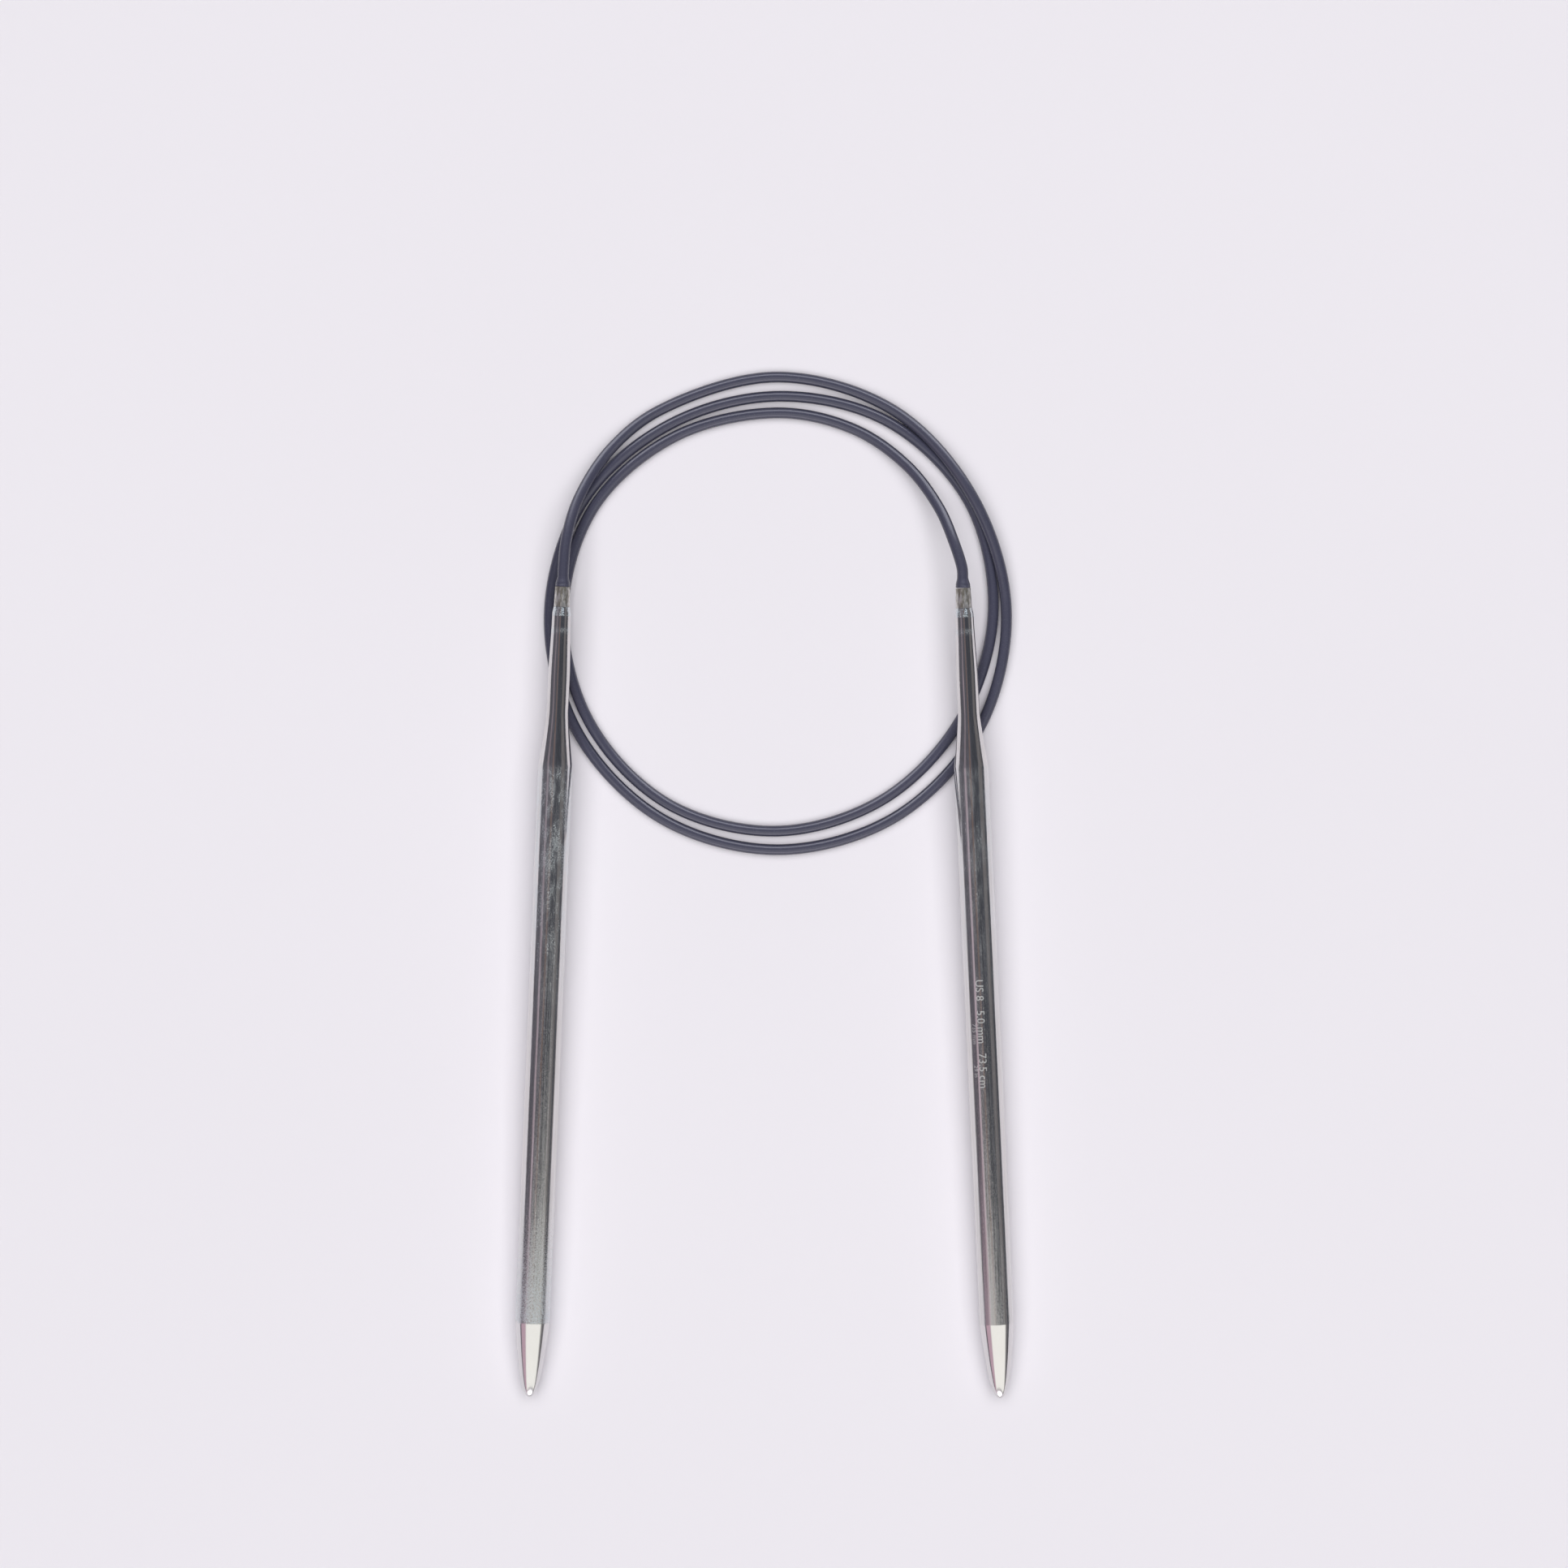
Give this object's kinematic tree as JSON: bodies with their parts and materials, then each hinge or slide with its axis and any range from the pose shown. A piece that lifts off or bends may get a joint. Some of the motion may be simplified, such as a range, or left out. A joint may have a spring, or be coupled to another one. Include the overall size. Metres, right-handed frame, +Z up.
{
  "type": "circular knitting needle",
  "caption": "Circular knitting needle: pointed hollow metal needles joined at their back ends by a thin flexible plastic cable, lying in a loose coil, for knitting in the round.",
  "frame": {"origin": "on the surface the part lies on, at the middle of the box that holds the two metal needles", "axes": "+Z up; both points face -Y and the cable's coil lies at +Y; +X is to the right seen from above with +Y away"},
  "size_m": [0.0722, 0.1488, 0.0071],
  "materials": {
    "polished_nickel": "polished nickel plate over hollow brass tube, with fine speckles and a laser-etched size mark",
    "crimped_nickel": "nickel plate, crinkled by the crimp",
    "cable_plastic": "slate blue-grey moulded plastic, semi-gloss"
  },
  "bodies": {
    "coil": {"cable_coil": "cable_plastic"},
    "left_bend": {"left_cable_lead": "cable_plastic"},
    "left_needle": {"left_point": "polished_nickel", "left_shank": "polished_nickel", "left_ferrule": "crimped_nickel", "left_collar": "cable_plastic", "left_cable_anchor": "cable_plastic"},
    "right_bend": {"right_cable_lead": "cable_plastic"},
    "right_needle": {"right_point": "polished_nickel", "right_shank": "polished_nickel", "right_ferrule": "crimped_nickel", "right_collar": "cable_plastic", "right_cable_anchor": "cable_plastic"}
  },
  "joints": [
    {"name": "left_swing", "type": "hinge", "parent": "coil", "child": "left_bend", "pos_m": [-0.0269, 0.0707, 0.0034], "axis": [0, 0, 1], "range_deg": [-50, 14], "stiffness_Nm_per_rad": 0.016, "deforming": ["left_cable_lead"]},
    {"name": "left_lift", "type": "hinge", "parent": "left_bend", "child": "left_needle", "pos_m": [-0.02893, 0.06289, 0.00541], "axis": [-0.9991, 0.0422, 0], "range_deg": [0, 70], "stiffness_Nm_per_rad": 0.016, "deforming": ["left_cable_lead"]},
    {"name": "right_swing", "type": "hinge", "parent": "coil", "child": "right_bend", "pos_m": [0.0252, 0.0694, 0.0034], "axis": [0, 0, -1], "range_deg": [-50, 14], "stiffness_Nm_per_rad": 0.016, "deforming": ["right_cable_lead"]},
    {"name": "right_lift", "type": "hinge", "parent": "right_bend", "child": "right_needle", "pos_m": [0.02841, 0.06269, 0.00541], "axis": [-0.9989, -0.0468, 0], "range_deg": [0, 70], "stiffness_Nm_per_rad": 0.016, "deforming": ["right_cable_lead"]}
  ]
}
